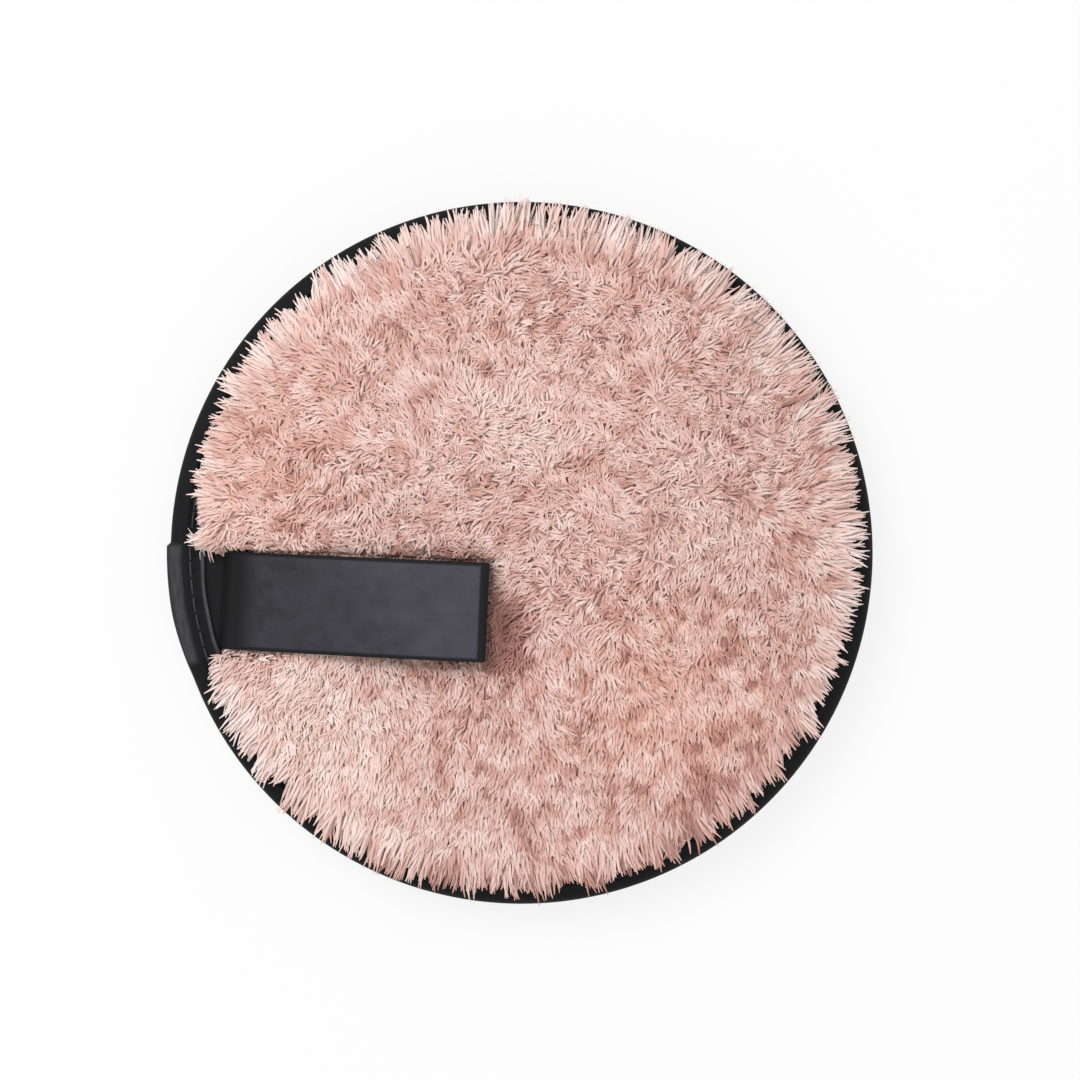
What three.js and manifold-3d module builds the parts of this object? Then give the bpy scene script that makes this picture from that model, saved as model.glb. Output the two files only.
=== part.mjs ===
// A round powder puff: a soft core between two long-pile cloths, bound at the rim with folded tape,
// with a ribbon finger loop whose ends are sewn in under the tape.
// Millimetres, +Z up. The origin is in the middle of the flat that the puff lies on.
import * as THREE from "three";
import { mergeVertices } from "three/addons/utils/BufferGeometryUtils.js";
import Module from "manifold-3d";

const wasm = await Module();
wasm.setup();

// The pad: a sponge core and the knitted ground cloth on each side of it
const PAD_RADIUS = 60;
const CORE_THICKNESS = 6;
const CORE_RIM_THICKNESS = 1.2;
const CORE_INSET = 2.5;
const PINCH_WIDTH = 4.2;
const CLOTH_THICKNESS = 0.6;
const CLOTH_INSET = 2;
const LAYER_GAP = 0.15;
const CORE_CROWN_POWER = 3;
const CORE_RING_SHARES = [0, 0.4, 0.65, 0.84, 1];

// The pile, which stands off the cloth and leans out over the tape
const PILE_LENGTH = 5.6;
const PILE_TIP = 1;
const PILE_SEAM_GAP = 0.3;
const PILE_OVERHANG_GAP = 0.25;
const PILE_CROWN_POWER = 4;
const PILE_SHOULDER_POWER = 2.5;
const PILE_RING_SHARES = [0, 0.38, 0.62, 0.78, 0.88, 0.95, 0.985, 1];
const FLAT_DEPTH = 0.5;
const BACK_RING_SHARES = [0.8, 0.9, 0.96, 1];

// How far the pile stays back from the rim: its mean, and two slow waves round the puff
const MARGIN_MEAN = 2.7;
const MARGIN_OVAL = 1.6;
const MARGIN_OVAL_DEGREES = 155;
const MARGIN_SHIFT = 0.7;
const MARGIN_SHIFT_DEGREES = 180;

// The tape, folded round the rim in a U, with its hems turned in and a hollow along the seam
const BINDING_WIDTH = 6;
const TAPE_THICKNESS = 0.35;
const HEM_WIDTH = 3.4;
const FOLD_DEPTH = 1.4;
const SEAM_INSET = 2.2;
const HOLLOW_WIDTH = 1.2;
const HOLLOW_FLOOR_WIDTH = 0.7;
const HOLLOW_DEPTH = 0.25;
const RISE_RAMP = 1.5;
const RIM_BULGE = 0.6;

// The seam's two threads, each one line of stitches
const THREAD_DIAMETER = 0.35;
const THREAD_GAP = 0.05;
const STITCH_LENGTH = 3;
const STITCH_CROWN = 0.12;
const THREAD_SIDES = 3;

// The ribbon: its free loop, and its two ends under the tape
const RIBBON_WIDTH = 16.5;
const RIBBON_THICKNESS = 0.4;
const RIBBON_PLY_GAP = 0.1;
const RIBBON_REACH = 45;
const RIBBON_OFFSET = 10.1;
const RIBBON_TURN_DEGREES = -2.5;
const LOOP_HEIGHT = 6;
const LOOP_PRESS = 0.8;
const TAIL_GAP = 0.25;
const TAIL_INSET = 1.8;
const SWING_GAP = 0.3;
const HINGE_CLEARANCE = 0.15;
const CHANNEL_GAP = 0.4;
const CUT_OVERRUN = 4;
const CLIMB_SHARE = 0.38;
const SPLIT_SHARE = 0.19;
const OPEN_SHARE = 0.8;

// How finely the curved faces are divided
const COLUMN_COUNT = 60;
const LEG_STEPS = 16;
const ARC_STEPS = 8;

// Heights from the pad's middle plane, worked out from the sizes above
const tapeInnerRadius = PAD_RADIUS - BINDING_WIDTH;
const pinchRadius = tapeInnerRadius - PINCH_WIDTH;
const coreRadius = PAD_RADIUS - CORE_INSET;
const clothRadius = PAD_RADIUS - CLOTH_INSET;
const seamRadius = tapeInnerRadius + SEAM_INSET;
const rimHalf = CORE_RIM_THICKNESS / 2 + LAYER_GAP + CLOTH_THICKNESS;
const tapeInside = rimHalf + LAYER_GAP;
const tapeTop = tapeInside + 2 * TAPE_THICKNESS;
const hollowFloor = tapeTop - HOLLOW_DEPTH;
const threadTop = hollowFloor + THREAD_GAP + THREAD_DIAMETER + STITCH_CROWN;
const stitchCount = Math.round((2 * Math.PI * seamRadius) / STITCH_LENGTH);
const ribbonStack = 2 * RIBBON_THICKNESS + RIBBON_PLY_GAP;
const tailBottom = rimHalf + TAIL_GAP;
const tapeRise = tailBottom + ribbonStack + TAIL_GAP - tapeInside;
const pileUnder = threadTop + PILE_OVERHANG_GAP;
const pileTop = CORE_THICKNESS / 2 + LAYER_GAP + CLOTH_THICKNESS + LAYER_GAP + PILE_LENGTH;
const middleHeight = pileTop - FLAT_DEPTH;

// The ribbon's own frame is the pad's, turned about Z; its length runs along X from the hinge
const ribbonTurn = THREE.MathUtils.degToRad(RIBBON_TURN_DEGREES);
const knuckle = ribbonStack / 2;
const hingeHeight = threadTop + tapeRise + HINGE_CLEARANCE + knuckle;
const hingeX = TAIL_GAP + knuckle - Math.sqrt(tapeInnerRadius ** 2 - (RIBBON_OFFSET + RIBBON_WIDTH / 2) ** 2);
const hingeY = -RIBBON_OFFSET;

// The stretch of tape that rises over the ribbon's ends, as angles round the pad
const ribbonRoot = Math.PI + ribbonTurn;
const channelHalf = RIBBON_WIDTH / 2 + CHANNEL_GAP;
const riseStart = ribbonRoot + Math.asin((RIBBON_OFFSET - channelHalf) / PAD_RADIUS);
const riseEnd = ribbonRoot + Math.asin((RIBBON_OFFSET + channelHalf) / tapeInnerRadius);
const rampAngle = RISE_RAMP / PAD_RADIUS;
const riseCorners = [riseStart - rampAngle, riseStart, riseEnd, riseEnd + rampAngle];

/** 1 over the ribbon's ends, 0 elsewhere, with a straight ramp on each side. */
function riseShare(angle) {
  const before = (angle - riseCorners[0]) / rampAngle;
  const after = (riseCorners[3] - angle) / rampAngle;
  return THREE.MathUtils.clamp(Math.min(before, after), 0, 1);
}

/** Even angles round the pad and the rise's corners, without even ones that crowd a corner. */
function anglesRound(count) {
  const step = (2 * Math.PI) / count;
  const even = Array.from({ length: count }, (_, i) => i * step);
  const clear = even.filter((angle) => riseCorners.every((corner) => Math.abs(angle - corner) > step / 4));
  return [...clear, ...riseCorners].sort((a, b) => a - b);
}

const columns = anglesRound(COLUMN_COUNT);

/** A closed solid turned about the pad's axis. profileAt(angle) gives [radius, height] points that
 * run outwards over the top and come back underneath, from axis to axis or as a closed loop. */
function turned(profileAt, angles) {
  const rows = angles.map(profileAt);
  const size = rows[0].length;
  const onAxis = rows[0][0][0] === 0;
  const points = rows.flatMap((row, column) =>
    row.flatMap(([radius, height]) => [
      radius * Math.cos(angles[column]),
      radius * Math.sin(angles[column]),
      height,
    ]),
  );
  const index = [];
  for (let column = 0; column < rows.length; column++) {
    const here = column * size;
    const next = ((column + 1) % rows.length) * size;
    for (let i = 0; i < (onAxis ? size - 1 : size); i++) {
      const j = (i + 1) % size;
      if (!(onAxis && j === size - 1)) index.push(here + i, here + j, next + j);
      if (!(onAxis && i === 0)) index.push(here + i, next + j, next + i);
    }
  }
  const geometry = new THREE.BufferGeometry();
  geometry.setAttribute("position", new THREE.Float32BufferAttribute(points, 3));
  geometry.setIndex(index);
  const welded = mergeVertices(geometry);
  welded.computeVertexNormals();
  return welded;
}

/** The same profile on the other side of the middle plane, still running the same way round. */
function mirrored(profile) {
  return profile.map(([radius, height]) => [radius, -height]).reverse();
}

/** A plane outline of [x, height] points, drawn out to a width and centred on it. */
function drawnOut(outline, width, hole) {
  const shape = new THREE.Shape(outline.map(([x, y]) => new THREE.Vector2(x, y)));
  if (hole) shape.holes.push(new THREE.Path(hole.map(([x, y]) => new THREE.Vector2(x, y))));
  const geometry = new THREE.ExtrudeGeometry(shape, { depth: width, bevelEnabled: false });
  return geometry.rotateX(Math.PI / 2).translate(0, width / 2, 0);
}

/** Points of an arc about [x, y], both ends included. */
function arc(x, y, radius, from, to) {
  return Array.from({ length: ARC_STEPS + 1 }, (_, i) => {
    const angle = THREE.MathUtils.lerp(from, to, i / ARC_STEPS);
    return [x + radius * Math.cos(angle), y + radius * Math.sin(angle)];
  });
}

function toSolid(geometry) {
  const bare = geometry.clone();
  bare.deleteAttribute("normal");
  bare.deleteAttribute("uv");
  const welded = mergeVertices(bare);
  const vertProperties = Float32Array.from(welded.attributes.position.array);
  const triVerts = Uint32Array.from(welded.index.array);
  return new wasm.Manifold(new wasm.Mesh({ numProp: 3, vertProperties, triVerts }));
}

function toGeometry(solid) {
  const { vertProperties, triVerts } = solid.getMesh();
  const geometry = new THREE.BufferGeometry();
  geometry.setAttribute("position", new THREE.BufferAttribute(vertProperties, 3));
  geometry.setIndex(new THREE.BufferAttribute(triVerts, 1));
  geometry.computeVertexNormals();
  return geometry;
}

/** Takes a solid given about the hinge to its place in the pad's frame. */
function placedAtHinge(geometry) {
  return geometry.translate(hingeX, hingeY, 0).rotateZ(ribbonTurn);
}

// Core and cloths

/** Half the core's thickness: crowned in the middle, pinched flat where the tape draws it in. */
function coreHalf(radius) {
  const crown = 1 - Math.min(1, radius / pinchRadius) ** CORE_CROWN_POWER;
  return THREE.MathUtils.lerp(CORE_RIM_THICKNESS, CORE_THICKNESS, crown) / 2;
}

const ringRadii = CORE_RING_SHARES.map((share) => share * pinchRadius);

function layerFace(radii, offset) {
  return radii.map((radius) => [radius, coreHalf(radius) + offset]);
}

function makeCore() {
  const top = layerFace([...ringRadii, coreRadius], 0);
  return turned(() => [...top, ...mirrored(top)], columns);
}

function clothProfile() {
  const radii = [...ringRadii, clothRadius];
  const bottom = layerFace(radii, LAYER_GAP).reverse();
  return [...layerFace(radii, LAYER_GAP + CLOTH_THICKNESS), ...bottom];
}

// Pile

/** The pile's outline, which leaves more of the tape bare on two sides than on the others. */
function pileRadius(angle) {
  const oval = MARGIN_OVAL * Math.cos(2 * (angle - THREE.MathUtils.degToRad(MARGIN_OVAL_DEGREES)));
  const shift = MARGIN_SHIFT * Math.cos(angle - THREE.MathUtils.degToRad(MARGIN_SHIFT_DEGREES));
  return PAD_RADIUS - MARGIN_MEAN - oval - shift;
}

/** The pile's top over a share of its radius, above a rim that starts at the given height. */
function pileFace(share, rimHeight) {
  const crown = (1 - share ** PILE_CROWN_POWER) ** (1 / PILE_SHOULDER_POWER);
  return rimHeight + (pileTop - rimHeight) * crown;
}

/** The pile's underside, from its drooping tips over the tape and down to the cloth. */
function pileUnderside(radius, under) {
  const stepRadius = tapeInnerRadius - PILE_SEAM_GAP;
  const offset = LAYER_GAP + CLOTH_THICKNESS + LAYER_GAP;
  return [
    [radius - PILE_TIP, under],
    [stepRadius, under],
    [stepRadius, coreHalf(stepRadius) + offset],
    ...layerFace(ringRadii, offset).reverse(),
  ];
}

function frontPileProfile(angle) {
  const under = pileUnder + tapeRise * riseShare(angle);
  const radius = pileRadius(angle);
  const top = PILE_RING_SHARES.map((share) => [share * radius, pileFace(share, under + PILE_TIP)]);
  return [...top, ...pileUnderside(radius, under)];
}

/** The back's pile is the same, but pressed flat in the middle, where the puff lies on it. */
function backPileProfile(angle) {
  const rimHeight = pileUnder + PILE_TIP;
  const flatCrown = (middleHeight - rimHeight) / (pileTop - rimHeight);
  const flatShare = (1 - flatCrown ** PILE_SHOULDER_POWER) ** (1 / PILE_CROWN_POWER);
  const radius = pileRadius(angle);
  const shares = BACK_RING_SHARES.map((share) => Math.max(share, flatShare));
  const sides = shares.map((share) => [share * radius, pileFace(share, rimHeight)]);
  const flat = [[0, middleHeight], [flatShare * radius, middleHeight]];
  return mirrored([...flat, ...sides, ...pileUnderside(radius, pileUnder)]);
}

// Tape

function bindingProfile(angle) {
  const share = riseShare(angle);
  const hollow = [seamRadius - HOLLOW_WIDTH / 2, seamRadius - HOLLOW_FLOOR_WIDTH / 2];
  const foldStart = PAD_RADIUS - FOLD_DEPTH;
  const hemEnd = Math.min(tapeInnerRadius + HEM_WIDTH, foldStart);
  const foldShare = Math.SQRT1_2;
  const singleTop = tapeInside + TAPE_THICKNESS;
  const outerFold = PAD_RADIUS - FOLD_DEPTH * (1 - foldShare);
  const innerFold = outerFold - TAPE_THICKNESS * foldShare;
  const outside = [
    [tapeInnerRadius, tapeInside + TAPE_THICKNESS],
    [tapeInnerRadius + TAPE_THICKNESS * (1 - foldShare), tapeInside + TAPE_THICKNESS * (1 + foldShare)],
    [tapeInnerRadius + TAPE_THICKNESS, tapeTop],
    [hollow[0], tapeTop],
    [hollow[1], hollowFloor],
    [2 * seamRadius - hollow[1], hollowFloor],
    [2 * seamRadius - hollow[0], tapeTop],
    [hemEnd, tapeTop],
    [foldStart, singleTop],
    [outerFold, singleTop * foldShare],
  ];
  const inside = [
    [tapeInnerRadius + TAPE_THICKNESS, tapeInside],
    [foldStart, tapeInside],
    [innerFold, tapeInside * foldShare],
  ];
  const lift = ([radius, height]) => [radius, height + tapeRise * share];
  const raisedOutside = outside.map(lift);
  const raisedInside = inside.map(lift);
  for (const folded of [raisedOutside, raisedInside]) folded.at(-1)[0] += RIM_BULGE * share;
  const rim = PAD_RADIUS + RIM_BULGE * share;
  return [
    ...raisedOutside,
    [rim, 0],
    ...mirrored(outside),
    ...mirrored(inside).reverse(),
    [rim - TAPE_THICKNESS, 0],
    ...raisedInside.reverse(),
  ];
}

// Threads

/** One line of stitches along the seam: each stitch lifts in its middle and dips at its ends. */
function threadProfile(angle, side) {
  const along = (angle * stitchCount) / (2 * Math.PI);
  const lift = 1 - Math.abs(2 * (along - Math.floor(along)) - 1);
  const rise = side > 0 ? tapeRise * riseShare(angle) : 0;
  const height = hollowFloor + THREAD_GAP + THREAD_DIAMETER / 2 + STITCH_CROWN * lift + rise;
  const section = Array.from({ length: THREAD_SIDES }, (_, i) => {
    const turn = Math.PI / 2 - (2 * Math.PI * i) / THREAD_SIDES;
    const reach = THREAD_DIAMETER / 2;
    return [seamRadius + reach * Math.cos(turn), height + reach * Math.sin(turn)];
  });
  return side > 0 ? section : mirrored(section);
}

function makeThread(side) {
  return turned((angle) => threadProfile(angle, side), anglesRound(2 * stitchCount));
}

// Ribbon, drawn in side view about the hinge

const foldRadius = LOOP_HEIGHT / 2;
const legLength = RIBBON_REACH - foldRadius;
const foldBottom = pileTop - LOOP_PRESS;

/** The underside of the lower leg, which climbs from the hinge onto the pile. */
function lowerLeg(share) {
  const left = 1 - Math.min(1, share / CLIMB_SHARE);
  return THREE.MathUtils.lerp(foldBottom, hingeHeight - knuckle, left ** 2);
}

/** The top of the upper leg, which lies on the lower one and then parts from it. */
function upperLeg(share) {
  const open = THREE.MathUtils.smoothstep(share, SPLIT_SHARE, OPEN_SHARE);
  return lowerLeg(share) + THREE.MathUtils.lerp(ribbonStack, LOOP_HEIGHT, open);
}

function legPoints(faceAt, from, offset) {
  return Array.from({ length: LEG_STEPS + 1 }, (_, i) => {
    const share = THREE.MathUtils.lerp(from, 1, i / LEG_STEPS);
    return [share * legLength, faceAt(share) + offset];
  });
}

function makeLoop() {
  const foldHeight = foldBottom + foldRadius;
  const quarter = Math.PI / 2;
  const insideRadius = foldRadius - RIBBON_THICKNESS;
  const outline = [
    ...legPoints(lowerLeg, 0, 0),
    ...arc(legLength, foldHeight, foldRadius, -quarter, quarter).slice(1, -1),
    ...legPoints(upperLeg, 0, 0).reverse(),
    ...arc(0, hingeHeight, knuckle, quarter, 3 * quarter).slice(1, -1),
  ];
  const hole = [
    ...legPoints(lowerLeg, SPLIT_SHARE, RIBBON_THICKNESS),
    ...arc(legLength, foldHeight, insideRadius, -quarter, quarter).slice(1, -1),
    ...legPoints(upperLeg, SPLIT_SHARE, -RIBBON_THICKNESS).reverse(),
  ];
  return drawnOut(outline, RIBBON_WIDTH, hole);
}

/** The ribbon's two ends: flat under the tape, trimmed to the pad's round, turned up at the hinge. */
function makeTails() {
  const tailTop = tailBottom + ribbonStack;
  const run = PAD_RADIUS;
  const plySplit = -2 * knuckle;
  const bend = arc(knuckle - ribbonStack, tailBottom + ribbonStack, ribbonStack, -Math.PI / 2, 0);
  const end = hingeHeight - knuckle - SWING_GAP;
  const outline = [
    [-run, tailBottom],
    ...bend,
    [knuckle, end],
    [-knuckle, end],
    [-knuckle, tailTop],
    [-run, tailTop],
    [-run, tailTop - RIBBON_THICKNESS],
    [plySplit, tailTop - RIBBON_THICKNESS],
    [plySplit, tailBottom + RIBBON_THICKNESS],
    [-run, tailBottom + RIBBON_THICKNESS],
  ];
  const strip = placedAtHinge(drawnOut(outline, RIBBON_WIDTH));
  const tailRadius = PAD_RADIUS - TAIL_INSET;
  const trim = new THREE.CylinderGeometry(tailRadius, tailRadius, 2 * (end + CUT_OVERRUN), COLUMN_COUNT);
  return toGeometry(toSolid(strip).intersect(toSolid(trim.rotateX(Math.PI / 2))));
}

/** The room that the ribbon takes in the front's pile: a notch at its root and a shallow channel. */
function makeChannel() {
  const back = hingeX + PAD_RADIUS + CUT_OVERRUN;
  const above = pileTop + LOOP_HEIGHT;
  const notchEnd = knuckle + CHANNEL_GAP;
  const floor = legPoints(lowerLeg, notchEnd / legLength, -PILE_SEAM_GAP);
  const end = RIBBON_REACH + CHANNEL_GAP;
  const outline = [
    [-back, 0],
    [notchEnd, 0],
    ...floor,
    [end, floor.at(-1)[1]],
    [end, above],
    [-back, above],
  ];
  return placedAtHinge(drawnOut(outline, 2 * channelHalf));
}

function makeFrontPile() {
  return toGeometry(toSolid(turned(frontPileProfile, columns)).subtract(toSolid(makeChannel())));
}

// Materials, from the photograph

const finishes = {
  sponge: { color: 0xe9dcc4, roughness: 0.95 },
  ground: { color: 0xc79a8f, roughness: 0.95 },
  pile: { color: 0xdcb3a8, roughness: 0.9 },
  tape: { color: 0x17181a, roughness: 0.55 },
  thread: { color: 0x232427, roughness: 0.6 },
  ribbon: { color: 0x44444a, roughness: 0.4 },
};

function addPiece(group, name, geometry, finish) {
  const material = new THREE.MeshStandardMaterial({ ...finishes[finish], metalness: 0 });
  const mesh = new THREE.Mesh(geometry, material);
  mesh.name = name;
  group.add(mesh);
  return mesh;
}

const puff = new THREE.Group();
puff.name = "powder_puff";

const pad = new THREE.Group();
pad.position.z = middleHeight;
puff.add(pad);

addPiece(pad, "core_pad", makeCore(), "sponge");
addPiece(pad, "front_ground_cloth", turned(clothProfile, columns), "ground");
addPiece(pad, "back_ground_cloth", turned(() => mirrored(clothProfile()), columns), "ground");
addPiece(pad, "front_pile", makeFrontPile(), "pile");
addPiece(pad, "back_pile", turned(backPileProfile, columns), "pile");
addPiece(pad, "edge_binding", turned(bindingProfile, columns), "tape");
addPiece(pad, "front_thread", makeThread(1), "thread");
addPiece(pad, "back_thread", makeThread(-1), "thread");
addPiece(pad, "ribbon_tails", makeTails(), "ribbon");

const ribbonFrame = new THREE.Group();
ribbonFrame.rotation.z = ribbonTurn;
pad.add(ribbonFrame);
addPiece(ribbonFrame, "ribbon_loop", makeLoop(), "ribbon").position.set(hingeX, hingeY, 0);

export default puff;
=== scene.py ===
import math
from types import SimpleNamespace

import bpy
import numpy as np
from bpy.props import FloatProperty, FloatVectorProperty, IntProperty, PointerProperty
from bpy.types import Operator, Panel, PropertyGroup
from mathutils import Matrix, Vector


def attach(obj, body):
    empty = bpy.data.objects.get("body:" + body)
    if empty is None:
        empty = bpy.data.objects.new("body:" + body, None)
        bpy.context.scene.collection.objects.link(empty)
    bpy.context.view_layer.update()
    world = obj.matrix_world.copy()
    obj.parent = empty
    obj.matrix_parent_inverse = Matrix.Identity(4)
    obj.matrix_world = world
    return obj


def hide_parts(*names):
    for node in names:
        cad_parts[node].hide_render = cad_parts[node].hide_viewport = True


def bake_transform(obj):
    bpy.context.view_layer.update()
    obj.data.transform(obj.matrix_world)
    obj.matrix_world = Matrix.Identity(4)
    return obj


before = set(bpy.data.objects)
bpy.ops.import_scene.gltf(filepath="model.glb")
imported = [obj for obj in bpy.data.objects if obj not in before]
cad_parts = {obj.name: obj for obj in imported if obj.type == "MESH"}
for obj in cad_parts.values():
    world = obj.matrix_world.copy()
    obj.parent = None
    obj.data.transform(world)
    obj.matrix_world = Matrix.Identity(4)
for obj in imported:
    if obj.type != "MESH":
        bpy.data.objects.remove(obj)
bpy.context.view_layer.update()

bl_info = {
    "name": "Powder puff",
    "version": (1, 0, 0),
    "blender": (4, 5, 0),
    "location": "3D View > Sidebar > Puff",
    "description": "Padded body, combed pile, folded tape, stitches and satin loop on the packed puff",
    "category": "Add Mesh",
}

MM = 0.001

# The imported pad: heights are over its middle plane, which lies midway between front and back
MIDDLE = 9 * MM
PAD_RADIUS = 60 * MM
PINCH_RADIUS = 49.8 * MM
CLOTH_RADIUS = 58 * MM
CLOTH_EDGE = 0.6 * MM
CORE_THICKNESS = 6 * MM
RIM_THICKNESS = 1.2 * MM
CLOTH_LAYERS = 0.75 * MM

# The folded tape
TAPE_INNER = 54 * MM
TAPE_THICKNESS = 0.35 * MM
TAPE_TOP = 2.2 * MM
TAPE_RISE = 1.25 * MM
SEAM_RADIUS = 56.2 * MM
HOLLOW_FLOOR = 1.95 * MM

# The ribbon's own frame: its length runs from the hinge, turned a little from the pad's X axis
HINGE = Vector((-50.479, -7.906, 0)) * MM
TURN = math.radians(-2.5)
RIBBON_ALONG = Vector((math.cos(TURN), math.sin(TURN), 0))
RIBBON_ACROSS = Vector((-math.sin(TURN), math.cos(TURN), 0))
TAIL_END = -8.2 * MM
TAIL_RADIUS = 58.2 * MM
TAIL_MIDDLE = 2.05 * MM
BEND_START = -0.9 * MM
BEND_END = 1.6 * MM
LEG_LENGTH = 42 * MM
CLIMB_LENGTH = 0.38 * LEG_LENGTH
LEG_LOW = 3.87 * MM
LEG_HIGH = 8.7 * MM
LOOP_HEIGHT = 6 * MM
PLY_STEP = 0.5 * MM

# The stretch of tape that rises over the ribbon's ends, as angles round the pad, and its soft ends
RISE_START, RISE_END = math.radians(178.9), math.radians(197.8)
RISE_STEP, FALL_STEP = 0.012, 0.08


def light(red, green, blue):
    """A colour as it looks on a screen, from 0 to 255, as Blender's linear one."""
    shares = (part / 255 for part in (red, green, blue))
    return tuple(s / 12.92 if s < 0.04045 else ((s + 0.055) / 1.055) ** 2.4 for s in shares)


def opaque(colour, strength=1):
    """A colour with its alpha, made lighter or darker by a strength."""
    return (*(strength * part for part in colour), 1)


def smooth(value, low, high):
    """0 below low, 1 above high, and a soft step between; high may be the lower one."""
    share = np.clip((value - low) / (high - low), 0, 1)
    return share * share * (3 - 2 * share)


# Node graphs


def node_for(operation, reflected=False):
    """A method or operator of Value that adds the node of an operation."""

    def method(self, *others):
        values = (*others, self) if reflected else (self, *others)
        return self.graph.maths(operation, *values)

    return method


class Value:
    """A node's output socket that can stand in sums and comparisons."""

    __add__ = __radd__ = node_for("ADD")
    __mul__ = __rmul__ = node_for("MULTIPLY")
    __sub__ = node_for("SUBTRACT")
    __rsub__ = node_for("SUBTRACT", reflected=True)
    __truediv__ = node_for("DIVIDE")
    __rtruediv__ = node_for("DIVIDE", reflected=True)
    __lt__ = node_for("LESS_THAN")
    __gt__ = node_for("GREATER_THAN")
    __abs__ = node_for("ABSOLUTE")
    least = node_for("MINIMUM")
    most = node_for("MAXIMUM")
    cos = node_for("COSINE")
    sin = node_for("SINE")
    length = node_for("LENGTH")
    distance = node_for("DISTANCE")
    unit = node_for("NORMALIZE")
    dot = node_for("DOT_PRODUCT")
    cross = node_for("CROSS_PRODUCT")

    def __init__(self, graph, socket):
        self.graph = graph
        self.socket = socket

    def output(self, key):
        return Value(self.graph, self.socket.node.outputs[key])

    def parts(self):
        x = self.graph.node("ShaderNodeSeparateXYZ", inputs={0: self})
        return x, x.output(1), x.output(2)

    def between(self, low, high):
        return self.most(low).least(high)

    def step(self, low, high, start=0, end=1):
        """A soft step, from start at low to end at high."""
        return self.graph.node(
            "ShaderNodeMapRange", {"interpolation_type": "SMOOTHSTEP"},
            {0: self, 1: low, 2: high, 3: start, 4: end},
        )


def is_vector(value):
    if isinstance(value, Value):
        return value.socket.type in {"VECTOR", "RGBA"}
    return isinstance(value, (tuple, Vector))


class Graph:
    """Adds nodes to a tree, for a material or for geometry."""

    def __init__(self, tree):
        self.tree = tree

    def node(self, kind, settings=None, inputs=None, output=0):
        """A node of a type. Its settings come first; its inputs are values or links, by name or number."""
        node = self.tree.nodes.new(kind)
        for name, setting in (settings or {}).items():
            if name == "stops":
                self._fill_ramp(node.color_ramp, setting)
            elif name == "held":
                for label in setting:
                    node.capture_items.new("VECTOR", label)
            else:
                setattr(node, name, setting)
        for key, value in (inputs or {}).items():
            if isinstance(value, Value):
                self.tree.links.new(value.socket, node.inputs[key])
            else:
                node.inputs[key].default_value = value
        return Value(self, node.outputs[output]) if node.outputs else node

    @staticmethod
    def _fill_ramp(ramp, stops):
        while len(ramp.elements) < len(stops):
            ramp.elements.new(0.5)
        for element, (place, colour) in zip(ramp.elements, stops):
            element.position = place
            element.color = (*colour, 1)

    def maths(self, operation, *values):
        """A Math node, or a Vector Math node where one of the values is a vector or a colour."""
        inputs = dict(enumerate(values))
        vectors = [is_vector(value) for value in values]
        if not any(vectors):
            return self.node("ShaderNodeMath", {"operation": operation}, inputs)
        if operation == "MULTIPLY" and not all(vectors):
            vector, number = values if vectors[0] else values[::-1]
            operation, inputs = "SCALE", {"Vector": vector, "Scale": number}
        output = "Value" if operation in {"DOT_PRODUCT", "LENGTH", "DISTANCE"} else "Vector"
        return self.node("ShaderNodeVectorMath", {"operation": operation}, inputs, output)

    def joined(self, x, y, z):
        return self.node("ShaderNodeCombineXYZ", inputs={0: x, 1: y, 2: z})

    def mix(self, share, first, second):
        """Numbers, vectors or colours, mixed by a share; a plain tuple is a colour."""
        if isinstance(first, Value):
            kind = first.socket.type
        else:
            kind = "RGBA" if isinstance(first, tuple) else "VALUE"
        kinds = {"RGBA": ("RGBA", 6, 2), "VECTOR": ("VECTOR", 4, 1), "VALUE": ("FLOAT", 2, 0)}
        data_type, start, output = kinds[kind]
        inputs = {0: share, start: first, start + 1: second}
        return self.node("ShaderNodeMix", {"data_type": data_type}, inputs, output)

    def noise(self, place, scale, detail=2, roughness=0.5, output=0):
        inputs = {"Vector": place, "Scale": scale, "Detail": detail, "Roughness": roughness}
        return self.node("ShaderNodeTexNoise", inputs=inputs, output=output)

    def random(self, seed, low, high):
        inputs = {2: low, 3: high, "Seed": seed}
        return self.node("FunctionNodeRandomValue", {"data_type": "FLOAT"}, inputs, output=1)

    def finish(self, geometry, material):
        """Ends a geometry tree, with a material on all of it."""
        done = self.node("GeometryNodeSetMaterial", inputs={"Geometry": geometry, "Material": material})
        self.node("NodeGroupOutput", inputs={"Geometry": done})


class Finish(Graph):
    """A new material and the nodes of its emptied tree."""

    def __init__(self, name):
        self.material = bpy.data.materials.new(name)
        self.material.use_nodes = True
        self.material.node_tree.nodes.clear()
        super().__init__(self.material.node_tree)

    def place(self):
        return self.node("ShaderNodeTexCoord", output="Object")

    def map_place(self, name):
        return self.node("ShaderNodeUVMap", {"uv_map": name}).parts()

    def ramp(self, share, *stops):
        return self.node("ShaderNodeValToRGB", {"stops": stops}, {0: share})

    def bump(self, height, depth, strength=1):
        return self.node("ShaderNodeBump", inputs={"Height": height, "Distance": depth, "Strength": strength})

    def shown(self, surface):
        """The material, with a surface joined to its output."""
        self.node("ShaderNodeOutputMaterial", inputs={"Surface": surface})
        return self.material

    def filled(self, colour, roughness, more):
        """The material, with a principled surface whose sockets are filled."""
        sockets = {"Base Color": colour, "Roughness": roughness, **more}
        return self.shown(self.node("ShaderNodeBsdfPrincipled", inputs=sockets))


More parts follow.
